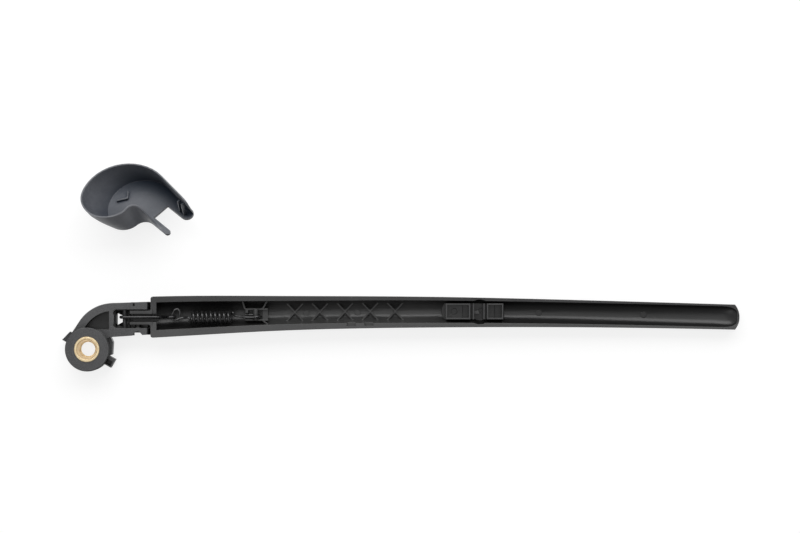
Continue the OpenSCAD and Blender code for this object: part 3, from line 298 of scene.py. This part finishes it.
# Facets of the moulded parts are shaded as one smooth skin, up to the angle of a real edge
def smoothSkin(limit, weld):
    group = bpy.data.node_groups.new("smoothSkin", "GeometryNodeTree")
    group.interface.new_socket("Geometry", in_out="INPUT", socket_type="NodeSocketGeometry")
    group.interface.new_socket("Geometry", in_out="OUTPUT", socket_type="NodeSocketGeometry")
    nodes, links = group.nodes, group.links
    start, end = nodes.new("NodeGroupInput"), nodes.new("NodeGroupOutput")
    bare = nodes.new("GeometryNodeRemoveAttribute")
    bare.inputs["Name"].default_value = "custom_normal"
    joined = nodes.new("GeometryNodeMergeByDistance")
    joined.inputs["Distance"].default_value = weld
    soft = nodes.new("GeometryNodeSetShadeSmooth")
    hard = nodes.new("GeometryNodeSetShadeSmooth")
    hard.domain = "EDGE"
    hard.inputs["Shade Smooth"].default_value = False
    angle = nodes.new("GeometryNodeInputMeshEdgeAngle")
    over = nodes.new("FunctionNodeCompare")
    over.operation = "GREATER_THAN"
    over.inputs["B"].default_value = limit
    links.new(start.outputs[0], bare.inputs["Geometry"])
    links.new(bare.outputs[0], joined.inputs["Geometry"])
    links.new(joined.outputs[0], soft.inputs["Geometry"])
    links.new(soft.outputs[0], hard.inputs["Geometry"])
    links.new(angle.outputs["Unsigned Angle"], over.inputs["A"])
    links.new(over.outputs[0], hard.inputs["Selection"])
    links.new(hard.outputs[0], end.inputs[0])
    return group


skin = smoothSkin(limit=math.radians(26), weld=0.000004)
for nodeName in ("arm_channel", "spindle_cap", "arm_head", "spindle_bush", "hinge_pins", "hook_pin"):
    cadNodes[nodeName].modifiers.new("smoothSkin", "NODES").node_group = skin
    weighted = cadNodes[nodeName].modifiers.new("facetWeight", "WEIGHTED_NORMAL")
    weighted.keep_sharp = True
print("wiper arm: the skins are smooth")


# A round tube along a path given in mm. Each end draws in to a smaller disc.
tubeTip = {"run": 0.35, "size": 0.55}  # length and size of the ends, as shares of the radius


def tube(name, path, radius, sides):
    points = [Vector(p) for p in path]
    count = len(points)
    dirs = [(points[min(i + 1, count - 1)] - points[max(i - 1, 0)]).normalized() for i in range(count)]
    across = dirs[0].orthogonal().normalized()
    verts, faces = [], []
    tip, small = radius * tubeTip["run"], tubeTip["size"]
    rings = [(points[0] - dirs[0] * tip, dirs[0], small), *((points[i], dirs[i], 1.0) for i in range(count)),
             (points[-1] + dirs[-1] * tip, dirs[-1], small)]
    for at, along, size in rings:
        across = (across - along * across.dot(along)).normalized()
        other = along.cross(across)
        for k in range(sides):
            a = 2 * math.pi * k / sides
            verts.append((at + (across * math.cos(a) + other * math.sin(a)) * radius * size) * mm)
    for i in range(len(rings) - 1):
        for k in range(sides):
            j = (k + 1) % sides
            faces.append((i * sides + k, i * sides + j, (i + 1) * sides + j, (i + 1) * sides + k))
    faces.append(tuple(range(sides - 1, -1, -1)))
    faces.append(tuple((len(rings) - 1) * sides + k for k in range(sides)))
    mesh = bpy.data.meshes.new(name)
    mesh.from_pydata([tuple(v) for v in verts], [], faces)
    mesh.shade_smooth()
    piece = bpy.data.objects.new(name, mesh)
    bpy.context.scene.collection.objects.link(piece)
    return piece


# Points between given ones, on a smooth curve through them
def smoothPath(points, steps):
    p = [Vector(v) for v in points]
    out = []
    for i in range(len(p) - 1):
        a, b, c, d = p[max(i - 1, 0)], p[i], p[i + 1], p[min(i + 2, len(p) - 1)]
        for s in range(steps):
            t = s / steps
            out.append(b + 0.5 * t * (c - a + t * (2 * a - 5 * b + 4 * c - d + t * (3 * (b - c) + d - a))))
    return out + [p[-1]]


# The tension line, in mm as in the solids: the hook wraps the pin, and the spring runs from its eye to the post.
# A sweep is first angle, last angle and step in degrees. The values under beside are in y, from the hook's middle.
tension = {
    "hingeX": 31.1, "pinX": 23.0, "pinZ": 7.8, "pinR": 1.25, "hookWire": 2.0, "eyeX": 51.8, "eyeR": 2.3,
    "hookY": 19.85, "postX": 104.2, "postZ": 5.2, "postR": 1.7, "postGap": 0.3, "springWire": 1.5, "springD": 8.0,
    "coilX": 63.2, "pitch": 2.7, "turns": 9.75, "turnSteps": 28, "hookSides": 20, "springSides": 16,
    "pinSweep": (250, 98, 8), "eyeSweep": (150, -150, 10), "postSweep": (110, -90, 20),
    "eyeDrift": 0.1, "sideRun": 1.5, "play": 0.15, "tailBack": (3, 6.8),
    "beside": {"leg": -0.4, "axis": -0.1, "lead": 0.5},
    # the hook's way points: start of its run, drop past the hinge, distance to the eye and rise in its radii
    "hookStart": 0.3, "hookDrop": (5, 0.2), "beforeEye": (8, 0.5), "hookSmooth": 4,
    # the spring's way points: distance before the coil and rise, distance past it, aside and rise, the ends of
    # its straight run, distance to the post and rise. The rises and asides are shares of a radius.
    "legEnd": 3.5, "intoCoil": ((1.6, 0.5), (0.7, 0.9)), "outOfCoil": ((0.6, 0.85, 0.35), (1.7, 0.2, 0.0)),
    "straight": (3, 10), "beforePost": (5, 0.8), "springSmooth": 3,
    # its flat end loop, from the place where it bears on the hook's eye
    "loop": [(4.8, 1.5), (5, 3), (4.7, 4.3), (3.8, 5.3), (2.6, 5.3), (1.5, 4.5), (0.7, 3.1), (0.15, 1.9), (0, 0.9),
             (0, 0.2), (0.3, -0.7), (1, -1.4), (2.1, -1.5), (3.6, -1), (5.2, -0.4), (6.5, -0.1)],
}


def lineZ(v, x):
    return v["pinZ"] + (x - v["pinX"]) * (v["postZ"] - v["pinZ"]) / (v["postX"] - v["pinX"])


# Points round a circle that is seen from the arm's side, drifting sideways on the way
def sideArc(x, y, z, r, sweep, drift=0.0):
    first, last, step = sweep
    out = []
    for degrees in range(first, last - 1, -step):
        a, aside = math.radians(degrees), drift * (first - degrees) / (first - last)
        out.append((x + r * math.cos(a), y + aside, z + r * math.sin(a)))
    return out


def makeHook(v):
    wrap = v["pinR"] + v["hookWire"] / 2
    y, top, eyeZ = v["hookY"], v["pinZ"] + wrap, lineZ(v, v["eyeX"])
    turn = sideArc(v["pinX"], y, v["pinZ"], wrap, v["pinSweep"])
    (ahead, drop), (back, rise) = v["hookDrop"], v["beforeEye"]
    run = [(v["pinX"] + v["hookStart"], y, top), (v["hingeX"], y, top), (v["hingeX"] + ahead, y, top - drop),
           (v["eyeX"] - back, y, eyeZ + v["eyeR"] * rise)]
    eye = sideArc(v["eyeX"], y, eyeZ, v["eyeR"], v["eyeSweep"], v["eyeDrift"])
    path = turn + smoothPath(run, v["hookSmooth"])[:-1] + eye
    return tube("tensionHookWire", path, v["hookWire"] / 2, v["hookSides"])


def makeSpring(v):
    leg, axis, lead = [v["hookY"] + v["beside"][part] for part in ("leg", "axis", "lead")]
    r = (v["springD"] - v["springWire"]) / 2
    bend = v["postR"] + v["postGap"] + v["springWire"] / 2
    bearing = v["eyeX"] + v["eyeR"] - v["hookWire"] / 2 - v["springWire"] / 2 - v["play"]
    start = [(bearing + x, leg + y, lineZ(v, bearing + x)) for x, y in v["loop"]]
    first, last = v["coilX"], v["coilX"] + v["turns"] * v["pitch"]
    start.append((first - v["legEnd"], leg, lineZ(v, first - v["legEnd"])))
    start += [(first - back, axis, lineZ(v, first) + r * rise) for back, rise in v["intoCoil"]]
    coil = []
    for i in range(1, int(v["turns"] * v["turnSteps"]) + 1):
        a, at = math.radians(90 + 360 * i / v["turnSteps"]), first + v["pitch"] * i / v["turnSteps"]
        coil.append((at, axis + r * math.cos(a), lineZ(v, at) + r * math.sin(a)))
    x, z = v["postX"], v["postZ"]
    tail = [(last + ahead, side + r * aside, lineZ(v, last) + r * rise)
            for side, (ahead, aside, rise) in zip((axis, lead), v["outOfCoil"])]
    tail += [(at, lead, lineZ(v, at)) for at in (last + v["straight"][0], x - v["straight"][1])]
    back, rise = v["beforePost"]
    tail.append((x - back, axis, lineZ(v, x - back) + bend * rise))
    tail += sideArc(x, axis, z, bend, v["postSweep"], v["sideRun"])
    tail += [(x - back, axis + v["sideRun"], z - bend) for back in v["tailBack"]]
    steps = v["springSmooth"]
    path = smoothPath(start, steps)[:-1] + coil[:-1] + smoothPath([coil[-1], *tail], steps)
    return tube("tensionSpringWire", path, v["springWire"] / 2, v["springSides"])


hookWire, springWire = makeHook(tension), makeSpring(tension)
for piece, node, finish, slotName in ((hookWire, "tension_hook", "hook", "hook_steel"),
                                      (springWire, "tension_spring", "spring", "spring_steel")):
    piece.data.materials.append(finishes[finish])
    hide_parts(node)
    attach(piece, "tension_link")
print("wiper arm: hook and spring are drawn")


# Table and light: a pale floor, a broad soft box on the arm's far side and two weaker ones, overhead and near
studio = {
    "floorSize": 8.0, "floorMiddle": (0.2, 0.05), "floorHeight": -0.00403, "floorTone": 0.80,
    "floorSeen": 0.25, "floorGlow": 0.80, "skyLight": 0.22,
    "farBox": {"at": (0.19, 1.18, 1.13), "aim": (0.19, 0.03, 0.0), "size": (2.6, 1.15), "power": 31.0},
    "topBox": {"at": (0.10, 0.30, 2.60), "aim": (0.18, 0.03, 0.0), "size": (1.8, 1.4), "power": 7.0},
    "nearBox": {"at": (-0.9, -0.9, 1.10), "aim": (0.10, 0.03, 0.0), "size": (0.9, 0.9), "power": 3.0},
}


def softBox(name, box):
    lamp = bpy.data.lights.new(name, "AREA")
    lamp.shape = "RECTANGLE"
    lamp.size, lamp.size_y = box["size"]
    lamp.energy = box["power"]
    rig = bpy.data.objects.new(name, lamp)
    rig.location = box["at"]
    rig.rotation_euler = (Vector(box["aim"]) - Vector(box["at"])).to_track_quat("-Z", "Y").to_euler()
    rig.visible_camera = False
    bpy.context.scene.collection.objects.link(rig)


def setTable(s):
    half = s["floorSize"] / 2
    sheet = bpy.data.meshes.new("table")
    corners = [(-half, -half, 0), (half, -half, 0), (half, half, 0), (-half, half, 0)]
    sheet.from_pydata(corners, [], [(0, 1, 2, 3)])
    table = bpy.data.objects.new("table", sheet)
    table.location = (*s["floorMiddle"], s["floorHeight"])
    bpy.context.scene.collection.objects.link(table)
    g = Graph("tableWhite")
    tree = g.tree
    path = g.node("LightPath")
    seen = g.math("MAXIMUM", g.math("MAXIMUM", path.outputs["Is Camera Ray"], path.outputs["Is Glossy Ray"]),
                  path.outputs["Is Transmission Ray"])
    plain = g.node("BsdfDiffuse", {"Color": (s["floorTone"],) * 3 + (1.0,)}).outputs[0]
    pale = g.node("BsdfDiffuse", {"Color": (s["floorSeen"],) * 3 + (1.0,)}).outputs[0]
    glow = g.node("Emission", {"Strength": s["floorGlow"]}).outputs[0]
    shown = g.node("AddShader", {0: pale, 1: glow}).outputs[0]
    mixed = g.node("MixShader", {0: seen, 1: plain, 2: shown}).outputs[0]
    tree.links.new(mixed, tree.nodes["Material Output"].inputs["Surface"])
    tree.nodes.remove(g.shader)
    table.data.materials.append(g.material)


def setSky(s):
    sky = bpy.data.worlds.new("studioSky")
    sky.use_nodes = True
    tree = sky.node_tree
    light = tree.nodes["Background"]
    light.inputs["Color"].default_value = (1.0, 1.0, 1.0, 1.0)
    light.inputs["Strength"].default_value = s["skyLight"]
    white = tree.nodes.new("ShaderNodeBackground")
    white.inputs["Color"].default_value = (1.0, 1.0, 1.0, 1.0)
    path = tree.nodes.new("ShaderNodeLightPath")
    mixed = tree.nodes.new("ShaderNodeMixShader")
    tree.links.new(path.outputs["Is Camera Ray"], mixed.inputs[0])
    tree.links.new(light.outputs[0], mixed.inputs[1])
    tree.links.new(white.outputs[0], mixed.inputs[2])
    tree.links.new(mixed.outputs[0], tree.nodes["World Output"].inputs["Surface"])
    bpy.context.scene.world = sky


setTable(studio)
setSky(studio)
for lampName in ("farBox", "topBox", "nearBox"):
    softBox(lampName, studio[lampName])
print("wiper arm: table and light are set")
